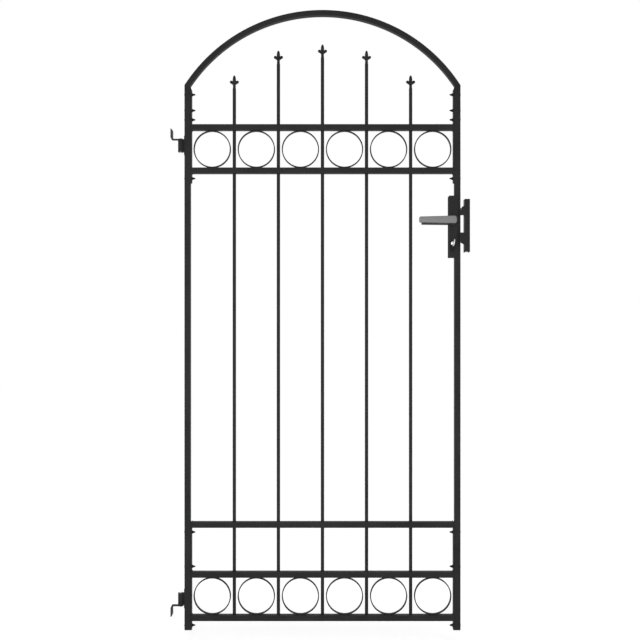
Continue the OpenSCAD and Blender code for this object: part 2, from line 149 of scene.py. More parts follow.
class GateView(PropertyGroup):
    """Where the gate is seen from"""

    distance: length_field("Distance", "From the front of the leaf to the camera", 2.67, 1, 10)
    height: length_field("Height", "Camera height above the foot of the leaf", 0.936, 0, 2)
    side: length_field("Side", "Camera place beside the middle of the leaf", -0.008, -1, 1)
    width: length_field("Width", "Width that the view takes in at the front of the leaf",
                        2.0624, 0.5, 5)
    foot_margin: length_field("Foot margin", "Height seen below the foot of the leaf",
                              0.0308, 0, 0.5)


def detail():
    """The sizes chosen in the scene."""
    return bpy.context.scene.gate_detail


class GateStep:
    """What the operators share: running one makes its pieces."""

    def execute(self, context):
        self.make()
        return {"FINISHED"}


# -------- node trees


FLOAT = "NodeSocketFloat"
WHOLE = "NodeSocketInt"
VECTOR = "NodeSocketVector"
THING = "NodeSocketObject"


def feed(tree, socket, value):
    """Sets an input to a value, or links it to the socket that the value comes from."""
    if isinstance(value, bpy.types.NodeSocket):
        tree.links.new(value, socket)
    else:
        socket.default_value = value


def add_node(tree, kind, settings=None, **inputs):
    """A new node; an input is a value, or a socket to link from.

    A kind that names no family of nodes is of the tree's own family.
    """
    family = "" if "Node" in kind else tree.bl_idname.removesuffix("Tree")
    made = tree.nodes.new(family + kind)
    for key, value in (settings or {}).items():
        setattr(made, key, value)
    for key, value in inputs.items():
        feed(tree, made.inputs[key.replace("_", " ")], value)
    return made


def output(tree, kind, settings=None, **inputs):
    """The first output of a new node."""
    return add_node(tree, kind, settings, **inputs).outputs[0]


def combine(tree, kind, *values, **settings):
    """The output of a new node whose inputs go by their order."""
    made = add_node(tree, kind, settings)
    for socket, value in zip(made.inputs, values):
        feed(tree, socket, value)
    return made.outputs[0]


def work_out(tree, operation, *values):
    """The result of one step of arithmetic."""
    return combine(tree, "ShaderNodeMath", *values, operation=operation)


def new_group(name, kind, inputs, outputs):
    """A node group, the sockets that it is given and the sockets that it puts out."""
    tree = bpy.data.node_groups.new(name, kind)
    for in_out, sockets in (("INPUT", inputs), ("OUTPUT", outputs)):
        for label, socket_type, default in sockets:
            made = tree.interface.new_socket(label, in_out=in_out, socket_type=socket_type)
            if default is not None:
                made.default_value = default
    given = tree.nodes.new("NodeGroupInput").outputs
    return tree, given, tree.nodes.new("NodeGroupOutput").inputs


def geometry_tree(name, *inputs):
    """A geometry tree that takes geometry, the named inputs and a material."""
    shape = ("Geometry", "NodeSocketGeometry", None)
    return new_group(name, "GeometryNodeTree",
                     [shape, *inputs, ("Material", "NodeSocketMaterial", None)], [shape])


def end_tree(tree, source, given, out):
    """Realizes what was made, gives it its material and sends it out."""
    real = output(tree, "RealizeInstances", Geometry=source)
    smooth = output(tree, "SetShadeSmooth", Geometry=real)
    painted = output(tree, "SetMaterial", Geometry=smooth, Material=given["Material"])
    tree.links.new(painted, out["Geometry"])
    return tree


def flat_bar_profile(tree, width, height, radius, steps):
    """A rectangle with rounded corners, for sweeping."""
    outline = output(tree, "CurvePrimitiveQuadrilateral", Width=width, Height=height)
    return output(tree, "FilletCurve", {"mode": "POLY"}, Curve=outline, Count=steps,
                  Radius=radius)


def tube_tree():
    """Sweeps a rounded rectangle along edges drawn in the plane of the leaf."""
    tree, given, out = geometry_tree(
        "Tube along a line", ("Width", FLOAT, TUBE), ("Depth", FLOAT, TUBE),
        ("Corner", FLOAT, 2 * MM), ("Corner Steps", WHOLE, 6))
    quarter = math.pi / 2
    flat = output(tree, "Transform", Geometry=given["Geometry"], Rotation=(-quarter, 0, 0))
    path = output(tree, "MeshToCurve", Mesh=flat)
    level = output(tree, "SetCurveNormal", {"mode": "Z_UP"}, Curve=path)
    profile = flat_bar_profile(tree, given["Width"], given["Depth"], given["Corner"],
                               given["Corner Steps"])
    swept = output(tree, "CurveToMesh", Curve=level, Profile_Curve=profile, Fill_Caps=True)
    upright = output(tree, "Transform", Geometry=swept, Rotation=(quarter, 0, 0))
    return end_tree(tree, upright, given, out)


def ring_tree():
    """A row of upright rings rolled from flat bar."""
    tree, given, out = geometry_tree(
        "Ring row", ("Rings", WHOLE, 6), ("Pitch", FLOAT, 0.14), ("First", VECTOR, None),
        ("Diameter", FLOAT, 0.12), ("Thickness", FLOAT, 3 * MM), ("Depth", FLOAT, 10 * MM),
        ("Edge", FLOAT, 0.5 * MM), ("Steps", WHOLE, 112))
    across = work_out(tree, "SUBTRACT", given["Diameter"], given["Thickness"])
    circle = output(tree, "CurvePrimitiveCircle", Resolution=given["Steps"],
                    Radius=work_out(tree, "MULTIPLY", across, 0.5))
    profile = flat_bar_profile(tree, given["Thickness"], given["Depth"], given["Edge"], 4)
    ring = output(tree, "CurveToMesh", Curve=circle, Profile_Curve=profile)
    upright = output(tree, "Transform", Geometry=ring, Rotation=(math.pi / 2, 0, 0))
    offset = output(tree, "ShaderNodeCombineXYZ", X=given["Pitch"])
    row = output(tree, "MeshLine", Count=given["Rings"],
                 Start_Location=given["First"], Offset=offset)
    rings = output(tree, "InstanceOnPoints", Points=row, Instance=upright)
    return end_tree(tree, rings, given, out)


def bar_tree():
    """A round bar on each point, as long as the point's length attribute."""
    tree, given, out = geometry_tree(
        "Round bars", ("Diameter", FLOAT, 10 * MM), ("Steps", WHOLE, 40))
    rod = output(tree, "MeshCylinder", Vertices=given["Steps"],
                 Radius=work_out(tree, "MULTIPLY", given["Diameter"], 0.5), Depth=1.0)
    stood = output(tree, "Transform", Geometry=rod, Translation=(0, 0, 0.5))
    length = output(tree, "InputNamedAttribute", {"data_type": "FLOAT"}, Name="length")
    scale = output(tree, "ShaderNodeCombineXYZ", X=1.0, Y=1.0, Z=length)
    bars = output(tree, "InstanceOnPoints", Points=given["Geometry"],
                  Instance=stood, Scale=scale)
    return end_tree(tree, bars, given, out)


def fitting_tree():
    """Copies one fitting to each point, turned to the point's aim and turn attributes."""
    tree, given, out = geometry_tree("Fittings on points", ("Fitting", THING, None))
    fitting = add_node(tree, "ObjectInfo", Object=given["Fitting"])
    aim = output(tree, "InputNamedAttribute", {"data_type": "FLOAT_VECTOR"}, Name="aim")
    turn = output(tree, "InputNamedAttribute", {"data_type": "FLOAT"}, Name="turn")
    aimed = output(tree, "FunctionNodeAlignRotationToVector", {"axis": "Z"}, Vector=aim)
    spin = output(tree, "FunctionNodeAxisAngleToRotation", Axis=(0, 0, 1), Angle=turn)
    spun = output(tree, "FunctionNodeRotateRotation", {"rotation_space": "LOCAL"},
                  Rotation=aimed, Rotate_By=spin)
    placed = output(tree, "InstanceOnPoints", Points=given["Geometry"],
                    Instance=fitting.outputs["Geometry"], Rotation=spun)
    return end_tree(tree, placed, given, out)


def weld_tree():
    """Overlapping ripples of weld metal along edges."""
    tree, given, out = geometry_tree(
        "Weld beads", ("Radius", FLOAT, 1.5 * MM), ("Step", FLOAT, 1.5 * MM),
        ("Seed", WHOLE, 3))
    path = output(tree, "MeshToCurve", Mesh=given["Geometry"])
    spaced = output(tree, "ResampleCurve", {"mode": "LENGTH"}, Curve=path, Length=given["Step"])
    bead = output(tree, "MeshIcoSphere", Radius=given["Radius"], Subdivisions=2)
    size = output(tree, "FunctionNodeRandomValue", {"data_type": "FLOAT_VECTOR"},
                  Min=(0.85, 0.85, 0.85), Max=(1.1, 1.1, 1.1), Seed=given["Seed"])
    beads = output(tree, "InstanceOnPoints", Points=spaced, Instance=bead, Scale=size)
    return end_tree(tree, beads, given, out)


TREES = {}


def shared_tree(maker):
    """One copy of each tree, however many pieces use it."""
    if maker not in TREES:
        TREES[maker] = maker()
    return TREES[maker]


# -------- materials


def grain_group():
    """Fine grain for coats and castings: a height, and a slow drift of the gloss."""
    tree, given, out = new_group(
        "Fine grain", "ShaderNodeTree",
        [("Grain Size", FLOAT, 1 * MM), ("Drift Size", FLOAT, 0.08)],
        [("Height", FLOAT, None), ("Drift", FLOAT, None)])
    place = add_node(tree, "TexCoord").outputs["Object"]
    for label, size, levels in (("Height", "Grain Size", 2.0), ("Drift", "Drift Size", 3.0)):
        noise = output(tree, "TexNoise", Vector=place, Detail=levels,
                       Scale=work_out(tree, "DIVIDE", 1.0, given[size]))
        tree.links.new(noise, out[label])
    return tree


def spread_group():
    """Spreads a 0 to 1 mask over a range."""
    tree, given, out = new_group(
        "Spread", "ShaderNodeTree",
        [("Mask", FLOAT, 0.5), ("Low", FLOAT, 0.0), ("High", FLOAT, 1.0)],
        [("Value", FLOAT, None)])
    spread = output(tree, "MapRange", Value=given["Mask"], From_Min=0.3,
                    From_Max=0.7, To_Min=given["Low"], To_Max=given["High"])
    tree.links.new(spread, out["Value"])
    return tree


def use_group(tree, maker, **inputs):
    """One shared node group, placed in a material with its own values."""
    return add_node(tree, "Group", {"node_tree": shared_tree(maker)}, **inputs)


def new_material(name, colour, metallic, specular):
    """A material with its tree, and its Principled node with the plain values set."""
    made = bpy.data.materials.new(name)
    made.use_nodes = True
    tree = made.node_tree
    surface = tree.nodes["Principled BSDF"]
    surface.inputs["Base Color"].default_value = (*colour, 1)
    surface.inputs["Metallic"].default_value = metallic
    surface.inputs["Specular IOR Level"].default_value = specular
    return made, tree, surface


def coat(name, colour, gloss, grain, bump, shift=0.25, metallic=0.0, specular=0.5,
         stretch=None, painted_shade_level=None):
    """A grained surface, whose colour and roughness drift slowly.

    Gloss is the range of the roughness, grain the size of the grain, bump its strength and
    shift the drift of the colour. A stretch draws the grain out into lines. The last
    argument paints shade: it is the share of the colour that is left where a piece's
    painted light share attribute is 0.
    """
    made, tree, surface = new_material(name, colour, metallic, specular)
    grained = use_group(tree, grain_group, Grain_Size=grain)
    drift = grained.outputs["Drift"]
    tone = use_group(tree, spread_group, Mask=drift, Low=1 - shift, High=1 + shift).outputs[0]
    # painted shade: the colour falls towards this share where the piece's painted light share
    # falls to 0
    if painted_shade_level:
        painted_light_share = add_node(tree, "Attribute", {"attribute_name": "painted_light_share"})
        painted_shade_tone = output(tree, "MapRange", Value=painted_light_share.outputs["Fac"], To_Min=painted_shade_level)
        tone = work_out(tree, "MULTIPLY", tone, painted_shade_tone)
    tint = add_node(tree, "Mix", {"data_type": "RGBA", "blend_type": "MULTIPLY"}, Factor=1.0)
    tint.inputs["A"].default_value = (*colour, 1)
    tree.links.new(tone, tint.inputs["B"])
    tree.links.new(tint.outputs["Result"], surface.inputs["Base Color"])
    rough = use_group(tree, spread_group, Mask=drift, Low=gloss[0], High=gloss[1])
    tree.links.new(rough.outputs[0], surface.inputs["Roughness"])
    height = grained.outputs["Height"]
    if stretch:
        place = add_node(tree, "TexCoord").outputs["Object"]
        drawn = output(tree, "Mapping", Vector=place, Scale=stretch)
        height = output(tree, "TexNoise", Vector=drawn, Scale=1.0, Detail=3.0)
    lift = output(tree, "Bump", Height=height, Strength=bump, Distance=0.2 * MM)
    tree.links.new(lift, surface.inputs["Normal"])
    return made


def powder_coat(finish):
    """The gate's own paint."""
    return coat("black powder coat", finish.paint, gloss=(0.46, 0.58), grain=0.9 * MM,
                bump=0.20, specular=0.1)


def screw_black(finish):
    """Darkened steel, for the screws and the lock cylinder."""
    dark = [0.5 * part for part in finish.paint]
    return coat("blackened screw", dark, gloss=(0.38, 0.48), grain=0.4 * MM, bump=0.15,
                specular=0.1)


def zinc_plate(finish):
    """Drawn steel with a zinc plate, for pins, bolts and spindle."""
    return coat("zinc plate", finish.zinc, gloss=(0.28, 0.42), grain=0.5 * MM, bump=0.12,
                shift=0.12, metallic=1.0, stretch=(200, 200, 3000))


def satin_alloy(finish):
    """The levers' alloy, with painted shade underneath them and on their faces to the gate."""
    # painted shade: 12% of the colour is left where a lever is fully in painted shade
    return coat("satin grey alloy", finish.alloy, gloss=(0.36, 0.46), grain=0.35 * MM,
                bump=0.10, shift=0.06, metallic=0.35, painted_shade_level=0.12)


def satin_nickel(finish):
    """The plug and the key."""
    return coat("satin nickel", finish.nickel, gloss=(0.22, 0.34), grain=0.4 * MM,
                bump=0.08, shift=0.08, metallic=1.0)


def moulded_plastic(finish):
    """The end caps and the levers' collars."""
    return coat("moulded plastic", finish.plastic, gloss=(0.55, 0.65), grain=0.5 * MM, bump=0.3)


MATERIALS = {}


def material(maker):
    """One copy of each material, in the scene's chosen colours."""
    if maker not in MATERIALS:
        MATERIALS[maker] = maker(bpy.context.scene.gate_finish)
    return MATERIALS[maker]


# -------- meshes


def put_in_scene(name, data):
    """An object with its mesh, light or camera."""
    made = bpy.data.objects.new(name, data)
    bpy.context.scene.collection.objects.link(made)
    return made


def new_object(name, verts=(), edges=(), faces=()):
    """An object with a new mesh."""
    mesh = bpy.data.meshes.new(name)
    mesh.from_pydata([tuple(v) for v in verts], list(edges), list(faces))
    return put_in_scene(name, mesh)


def bake(obj):
    """Puts the evaluated mesh in place of the object's own and drops its modifiers."""
    bpy.context.view_layer.update()
    depsgraph = bpy.context.evaluated_depsgraph_get()
    mesh = bpy.data.meshes.new_from_object(obj.evaluated_get(depsgraph), depsgraph=depsgraph)
    obj.modifiers.clear()
    obj.data = mesh
    return obj


def grow(obj, tree_maker, maker=powder_coat, **inputs):
    """Runs a geometry tree on the object and keeps the plain mesh that comes out."""
    tree = shared_tree(tree_maker)
    modifier = obj.modifiers.new(tree.name, "NODES")
    modifier.node_group = tree
    names = {item.name: item.identifier for item in tree.interface.items_tree
             if item.in_out == "INPUT"}
    for key, value in {**inputs, "Material": material(maker)}.items():
        modifier[names[key.replace("_", " ")]] = value
    return bake(obj)


def shade(obj, angle=EDGE_ANGLE):
    """Smooth shading with the true edges left sharp."""
    obj.data.shade_smooth()
    obj.data.set_sharp_from_angle(angle=math.radians(angle))
    return obj


def set_attribute(obj, name, kind, values):
    """Stores a value on each point of the mesh."""
    made = obj.data.attributes.new(name, kind, "POINT")
    field = "vector" if kind == "FLOAT_VECTOR" else "value"
    for item, value in zip(made.data, values):
        setattr(item, field, value)


def polyline(name, *runs):
    """Edges through each run of points."""
    verts, edges = [], []
    for run in runs:
        first = len(verts)
        verts += run
        edges += [(first + i, first + i + 1) for i in range(len(run) - 1)]
    return new_object(name, verts, edges)


def opened(*objs):
    """The meshes of the objects, open for work."""
    mesh = bmesh.new()
    for obj in objs:
        mesh.from_mesh(obj.data)
    return mesh


def closed(mesh, obj):
    """Puts the worked mesh into the object."""
    mesh.to_mesh(obj.data)
    mesh.free()
    return obj


def cut(obj, point, normal):
    """Cuts away the side that the normal points to, and closes the cut."""
    mesh = opened(obj)
    found = bmesh.ops.bisect_plane(
        mesh, geom=mesh.verts[:] + mesh.edges[:] + mesh.faces[:], dist=1e-7,
        plane_co=point, plane_no=normal, clear_outer=True)
    rim = [item for item in found["geom_cut"] if isinstance(item, bmesh.types.BMEdge)]
    bmesh.ops.contextual_create(mesh, geom=rim)
    bmesh.ops.recalc_face_normals(mesh, faces=mesh.faces[:])
    closed(mesh, obj)


def skin(name, rows, looped=False, first=0):
    """Faces over rows of as many points each, closed by two ends or, looped, by itself.

    First is the corner that a face starts from, which settles how it folds.
    """
    count = len(rows[0])
    faces = []
    for row in range(len(rows) if looped else len(rows) - 1):
        here, above = row * count, (row + 1) % len(rows) * count
        for i in range(count):
            k = (i + 1) % count
            face = (here + i, here + k, above + k, above + i)
            faces.append(face[first:] + face[:first])
    if not looped:
        last = (len(rows) - 1) * count
        faces.append(tuple(reversed(range(count))))
        faces.append(tuple(range(last, last + count)))
    return new_object(name, [point for row in rows for point in row], (), faces)


def around(steps):
    """Points of a unit circle, at equal steps."""
    turns = [2 * math.pi * i / steps for i in range(steps)]
    return [(math.cos(turn), math.sin(turn)) for turn in turns]


def turned(name, profile, steps, looped=False):
    """A shape turned round Z; its profile is (radius, height) from foot to top."""
    return skin(name, [[Vector((radius * x, radius * y, height)) for x, y in around(steps)]
                       for radius, height in profile], looped)


def outward(obj):
    """Merges points in one place and turns every face outwards."""
    mesh = opened(obj)
    bmesh.ops.remove_doubles(mesh, verts=mesh.verts[:], dist=MERGE)
    bmesh.ops.recalc_face_normals(mesh, faces=mesh.faces[:])
    closed(mesh, obj)


def join(name, parts, maker):
    """One object from several, with one material."""
    made = closed(opened(*parts), new_object(name))
    for part in parts:
        bpy.data.objects.remove(part)
    made.data.materials.append(material(maker))
    return made


def settle(obj, *nodes, body=LEAF, maker=powder_coat):
    """The piece rides on its body and stands for the nodes, which it hides."""
    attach(obj, body)
    if nodes:
        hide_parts(*nodes)


def softened(node, name, width, maker=powder_coat, body=LEAF, segments=3):
    """Stands for a node with a copy of its mesh that has its sharp edges rounded."""
    flat = math.radians(0.6)
    mesh = opened(frame["nodes"][node])
    bmesh.ops.remove_doubles(mesh, verts=mesh.verts[:], dist=2 * MERGE)
    bmesh.ops.dissolve_limit(mesh, angle_limit=flat, verts=mesh.verts[:],
                             edges=mesh.edges[:], delimit=set())
    made = closed(mesh, new_object(name))
    made.data.materials.clear()
    made.data.materials.append(material(maker))
    made.data.polygons.foreach_set("material_index", [0] * len(made.data.polygons))
    bevel = made.modifiers.new("Rounded edges", "BEVEL")
    bevel.width = width
    bevel.segments = segments
    bevel.limit_method = "ANGLE"
    bevel.angle_limit = math.radians(EDGE_ANGLE)
    bevel.miter_outer = "MITER_ARC"
    bevel.harden_normals = False
    settle(shade(bake(made)), node, body=body, maker=maker)


# -------- the leaf's tubes


def arch_circle():
    """Centre height and outer radius of the arch, from its crown and corners."""
    rise = CROWN_Z - CORNER_Z
    radius = (HALF_WIDTH * HALF_WIDTH + rise * rise) / (2 * rise)
    return CROWN_Z - radius, radius


def arch_depth():
    """From the arch's outer curve to its inner curve, as its node has it."""
    centre_z, radius = arch_circle()
    verts = frame["nodes"]["arch_tube"].data.vertices
    return radius - min(math.hypot(v.co.x - LEAF_MID_X, v.co.z - centre_z) for v in verts)


def mitre_plane(side):
    """A point on the mitre at one corner, and the normal towards the arch."""
    centre_z, radius = arch_circle()
    outer = Vector((HALF_WIDTH, 0, CORNER_Z))
    inner_x = HALF_WIDTH - TUBE
    inner_z = centre_z + math.sqrt((radius - arch_depth()) ** 2 - inner_x ** 2)
    along = outer - Vector((inner_x, 0, inner_z))
    normal = Vector((-along.z, 0, along.x)).normalized()
    point = Vector((LEAF_MID_X + side * outer.x, 0, outer.z))
    return point, Vector((side * normal.x, 0, normal.z))


def tube_along(name, points, width=TUBE):
    """Square tube swept along a run of points."""
    return grow(polyline(name, points), tube_tree, Width=width, Depth=TUBE,
                Corner=detail().tube_radius)


def stile(node, side):
    """One upright tube, cut on the mitre at the top."""
    low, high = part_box(node)
    x = (low.x + high.x) / 2
    made = tube_along(node + "_tube", [Vector((x, 0, low.z)), Vector((x, 0, high.z + TUBE))])
    cut(made, *mitre_plane(side))
    settle(shade(made), node)


def arch():
    """The rolled tube between the two mitres."""
    steps = 120
    overrun = math.radians(6)
    centre_z, radius = arch_circle()
    middle = radius - arch_depth() / 2
    reach = math.asin(HALF_WIDTH / radius) + overrun
    points = []
    for i in range(steps + 1):
        turn = reach * (2 * i / steps - 1)
        points.append(Vector((LEAF_MID_X + middle * math.sin(turn), 0,
                              centre_z + middle * math.cos(turn))))
    made = tube_along("arch_rolled_tube", points, arch_depth())
    for side in (-1, 1):
        point, normal = mitre_plane(side)
        cut(made, point, -normal)
    settle(shade(made), "arch_tube")


def rail(node):
    """One level tube between the side strips."""
    low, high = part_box(node)
    z = (low.z + high.z) / 2
    made = tube_along(node + "_tube", [Vector((low.x, 0, z)), Vector((high.x, 0, z))])
    settle(shade(made), node)


class GATE_OT_tubes(GateStep, Operator):
    """Make the stiles, the arch and the rails"""

    bl_idname = "gate.tubes"
    bl_label = "Tubes"

    def make(self):
        stile("hinge_stile", -1)
        stile("lock_stile", 1)
        arch()
        for node in RAILS:
            rail(node)


class GATE_OT_strips(GateStep, Operator):
    """Make the flat side strips and the end caps of the stiles"""

    bl_idname = "gate.strips"
    bl_label = "Side strips and end caps"

    def make(self):
        edge = detail().edge_radius
        for node in STRIPS:
            softened(node, node + "_flat", edge)
        for node in ("hinge_stile_cap", "lock_stile_cap"):
            softened(node, node + "_moulding", 1.4 * MM, moulded_plastic, segments=4)


# -------- bars, spearheads and rings


def spear_shape():
    """One spearhead on its neck, its foot at the origin."""
    low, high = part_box(SPEARHEADS[0])
    height = high.z - low.z
    reach = (high.x - low.x) / 2
    bar_low, bar_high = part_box(BARS[0])
    bar_radius = (bar_high.x - bar_low.x) / 2
    lobe_z = height - 22 * MM
    lobe_r = 4.9 * MM
    # (radius, height) of the neck, then (drop below the tip, radius) of the spike
    neck = ((5.1, 3), (4.7, 6))
    spike = ((36, 4.6), (30, 4.8), (22, 5.5), (18, 5.6), (15, 5.5), (12, 5.3), (9, 4.9),
             (6.5, 4.4), (4.5, 3.8), (3, 3.1), (1.6, 2.2), (0.6, 1.3), (0.1, 0.5))
    profile = [(bar_radius, 0), (bar_radius, 1 * MM)]
    profile += [(radius * MM, rise * MM) for radius, rise in neck]
    profile += [(radius * MM, height - drop * MM) for drop, radius in spike]
    # a petal's way out from the stem: (x, rise to the lobe, radius)
    way = ((2.5, -6.5, 3.6), (5.0, -4.0, 4.2), (7.5, -1.8, 4.6))
    path = [Vector((x * MM, 0, lobe_z + rise * MM)) for x, rise, radius in way]
    path.append(Vector((reach - lobe_r, 0, lobe_z)))
    radii = [radius * MM for x, rise, radius in way] + [lobe_r]
    parts = [turned("stem", profile, steps=32)]
    for quarter in range(4):
        parts.append(petal(path, radii, Matrix.Rotation(quarter * math.pi / 2, 4, "Z")))
    made = join("spear_shape", parts, powder_coat)
    remesh = made.modifiers.new("Cast in one", "REMESH")
    remesh.mode = "VOXEL"
    remesh.voxel_size = 0.5 * MM
    smooth = made.modifiers.new("Cast edges", "SMOOTH")
    smooth.factor = 0.5
    smooth.iterations = 3
    return bake(made)


def petal(path, radii, turn):
    """Overlapping balls along a bent path, to be cast into one."""
    balls = 14
    flatness = 0.8
    mesh = bmesh.new()
    for i in range(balls):
        t = i / (balls - 1) * (len(path) - 1)
        k = min(int(t), len(path) - 2)
        part = t - k
        centre = path[k].lerp(path[k + 1], part)
        radius = radii[k] * (1 - part) + radii[k + 1] * part
        place = turn @ Matrix.Translation(centre) @ Matrix.Diagonal((1, flatness, 1, 1))
        bmesh.ops.create_icosphere(mesh, subdivisions=3, radius=radius, matrix=place)
    return closed(mesh, new_object("petal"))


def fit(name, shape, points, aims, turn_step, angle, *nodes, maker=powder_coat):
    """Copies of a shape on the points, each turned one step further than the last."""
    made = new_object(name, points)
    set_attribute(made, "aim", "FLOAT_VECTOR", aims)
    set_attribute(made, "turn", "FLOAT", [turn_step * i for i in range(len(points))])
    grow(made, fitting_tree, maker, Fitting=shape)
    settle(shade(made, angle), *nodes, maker=maker)
    bpy.data.objects.remove(shape)


class GATE_OT_bars(GateStep, Operator):
    """Make the round bars and their spearheads"""

    bl_idname = "gate.bars"
    bl_label = "Bars and spearheads"

    def make(self):
        boxes = [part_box(node) for node in BARS]
        feet = [Vector(((low.x + high.x) / 2, 0, low.z)) for low, high in boxes]
        tops = [Vector((foot.x, 0, high.z)) for foot, (low, high) in zip(feet, boxes)]
        bars = new_object("round_bars", feet)
        set_attribute(bars, "length", "FLOAT", [top.z - foot.z for top, foot in zip(tops, feet)])
        grow(bars, bar_tree, Diameter=boxes[0][1].x - boxes[0][0].x, Steps=detail().round_steps)
        settle(shade(bars), *BARS)
        upwards = [(0, 0, 1)] * len(tops)
        fit("spearheads", spear_shape(), tops, upwards, 0.0, CAST_ANGLE, *SPEARHEADS)


def ring_row_sizes(node):
    """First centre, count, pitch and diameter of a row of rings, from its box."""
    low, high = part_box(node)
    diameter = high.z - low.z
    count = len(BARS) + 1
    pitch = (high.x - low.x - diameter) / (count - 1)
    first = Vector((low.x + diameter / 2, 0, (low.z + high.z) / 2))
    return first, count, pitch, diameter


class GATE_OT_rings(GateStep, Operator):
    """Make the two rows of rings"""

    bl_idname = "gate.rings"
    bl_label = "Rings"

    def make(self):
        for node in RING_ROWS:
            first, count, pitch, diameter = ring_row_sizes(node)
            low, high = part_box(node)
            made = new_object(node + "_rolled")
            grow(made, ring_tree, Rings=count, Pitch=pitch, First=first, Diameter=diameter,
                 Thickness=detail().ring_thickness, Depth=high.y - low.y,
                 Edge=detail().ring_edge)
            settle(shade(made, SWEPT_ANGLE), node)


# -------- screws and welds


def threaded_shank(reach):
    """A self-drilling shank that hangs down from z = 0."""
    steps = 24
    rows_a_turn = 6
    pitch = 1.7 * MM
    tip = 3 * MM
    core = 0.8              # the core's share of the thread's radius
    steepness = 3.2         # of a thread's flanks
    least = 0.05 * MM
    radius = detail().screw_diameter / 2
    rise = pitch / rows_a_turn
    rows = []
    for row in reversed(range(int(reach / rise) + 1)):
        z = -row * rise
        thin = min(1.0, max(reach + z, 0) / tip)
        ring = []
        for i, (across, along) in enumerate(around(steps)):
            ramp = (z / pitch - i / steps) % 1.0
            crest = max(0.0, 1 - abs(ramp - 0.5) * steepness)
            r = radius * thin * (core + (1 - core) * crest) + least
            ring.append((r * across, r * along, z))
        rows.append(ring)
    return skin("shank", rows, first=3)


def strip_screw(grip):
    """A self-drilling screw along Z: its head sits at z = 0, and a nut holds the strip."""
    head_r = 4.6 * MM
    head_h = 1.7 * MM
    head = [(head_r * 0.96, 0), (head_r, 0.25 * MM), (head_r * 0.97, 0.6 * MM),
            (head_r * 0.84, head_h * 0.72), (head_r * 0.6, head_h * 0.94),
            (head_r * 0.42, head_h), (head_r * 0.36, head_h * 0.3)]
    # (radius, drop below the strip) in millimetres
    flange = ((4.4, 2.4), (5.4, 1.6), (5.4, 0))
    nut = ((4.0, 5), (4.5, 4.5), (4.5, 1))
    parts = [threaded_shank(grip + detail().screw_point), turned("head", head, steps=24)]
    for name, profile, sides in (("flange", flange, 24), ("nut", nut, 6)):
        below = [(radius * MM, -grip - drop * MM) for radius, drop in profile]
        parts.append(turned(name, below, sides))
    return join("strip_screw", parts, screw_black)


def plate_screw():
    """A countersunk screw with its socket, flush with z = 0."""
    profile = ((2, -4), (2, -2), (3.6, -0.1), (3.5, 0.15), (1.4, 0.2), (1.2, -1))
    screw = turned("screw", [(radius * MM, height * MM) for radius, height in profile], steps=24)
    return join("plate_screw", [screw], powder_coat)


def screw_heights(node):
    """Heights of the screws of one side strip."""
    low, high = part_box(node)
    if node.startswith("upper"):
        return [high.z - drop * MM for drop in (22, 73, 103, 293)]
    return [low.z + rise * MM for rise in (14, 204, 315)]


class GATE_OT_screws(GateStep, Operator):
    """Make the self-drilling screws of the side strips and the screws of the lock plates"""

    bl_idname = "gate.screws"
    bl_label = "Screws"

    def make(self):
        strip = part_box(STRIPS[0])
        grip = TUBE + strip[1].x - strip[0].x
        turn_step = 1.3
        points, aims = [], []
        for node in STRIPS:
            hinge_side = "hinge" in node
            for z in screw_heights(node):
                points.append((LEAF_X0 if hinge_side else LEAF_X1, 0, z))
                aims.append((-1 if hinge_side else 1, 0, 0))
        fit("strip_screws", strip_screw(grip), points, aims, turn_step, SCREW_ANGLE,
            maker=screw_black)
        points, aims = [], []
        inset = 12 * MM
        for side, facing in SIDES:
            low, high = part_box(f"{side}_lock_plate")
            for z in (low.z + inset, high.z - inset):
                points.append(((low.x + high.x) / 2, (low if facing < 0 else high).y, z))
                aims.append((0, facing, 0))
        fit("lock_plate_screws", plate_screw(), points, aims, turn_step, SCREW_ANGLE)


def rail_seams():
    """Seams round both ends of every rail, where it meets the side strips."""
    runs = []
    inset = 0.6 * MM
    y = HALF_DEPTH - 1.2 * MM
    for node in RAILS:
        low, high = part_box(node)
        for x in (low.x + inset, high.x - inset):
            for z in (low.z, high.z):
                runs.append([Vector((x, -y, z)), Vector((x, y, z))])
    return runs


def ring_seams():
    """Short seams where the rings touch the rails above and below."""
    runs = []
    reach = 4 * MM
    inset = 0.4 * MM
    for node in RING_ROWS:
        first, count, pitch = ring_row_sizes(node)[:3]
        low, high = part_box(node)
        for i in range(count):
            x = first.x + i * pitch
            for z in (low.z + inset, high.z - inset):
                for y in (low.y, high.y):
                    runs.append([Vector((x - reach, y, z)), Vector((x + reach, y, z))])
    return runs


def knuckle_seams():
    """Seams along both sides of the hinge barrels and plates."""
    runs = []
    # (distance out from the stile, y, inset from both ends) in millimetres
    seams = ((0.2, -6, 3), (2.4, -4.2, 12), (0.2, 6, 3), (2.4, 4.2, 12))
    for node in ("lower_knuckle", "upper_knuckle"):
        low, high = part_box(node)
        for out, y, inset in seams:
            runs.append([Vector((LEAF_X0 - out * MM, y * MM, z))
                         for z in (low.z + inset * MM, high.z - inset * MM)])
    return runs


def pin_seams():
    """Rings of weld where the hinge pins stand in their arms."""
    runs = []
    circle = around(20)
    margin = 0.4 * MM
    tail = 2 * MM           # the pin's end that shows past the arm
    for level in ("lower", "upper"):
        low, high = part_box(f"{level}_hinge_pin")
        radius = (high.x - low.x) / 2 + margin
        centre = (low + high) / 2
        centre.z = high.z - tail if level == "upper" else low.z + tail
        runs.append([centre + Vector((radius * x, radius * y, 0))
                     for x, y in circle + circle[:1]])
    return runs


